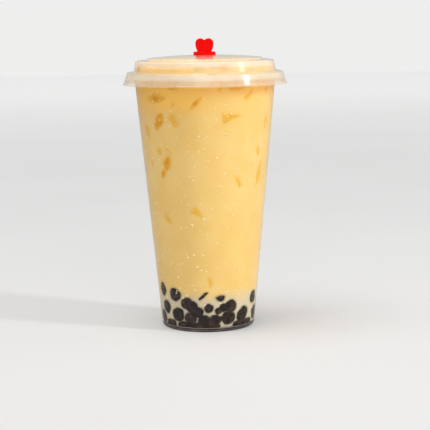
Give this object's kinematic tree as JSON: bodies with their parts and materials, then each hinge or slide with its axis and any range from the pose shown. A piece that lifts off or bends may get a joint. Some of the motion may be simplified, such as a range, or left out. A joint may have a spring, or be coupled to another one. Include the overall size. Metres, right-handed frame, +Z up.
{
  "type": "pina colada smoothie",
  "caption": "Tall clear lidded cup of golden iced smoothie over dark tapioca pearls, with a red heart-shaped stopper in its frosted lid.",
  "frame": {"origin": "centre of the cup's foot ring, on the plane it stands on", "axes": "+Z up along the cup's axis, -Y the way the heart faces"},
  "size_m": [0.1036, 0.1036, 0.1829],
  "materials": {
    "clear_plastic": "clear moulded polypropylene, lightly hazed",
    "frosted_plastic": "frosted translucent polypropylene",
    "red_plastic": "glossy opaque red",
    "smoothie": "opaque creamy golden drink",
    "tapioca": "dark glossy chewy pearls"
  },
  "bodies": {
    "root": {"cup": "clear_plastic", "lid": "frosted_plastic", "heart_plug": "red_plastic", "drink": "smoothie", "tapioca_pearls": "tapioca"}
  },
  "joints": []
}
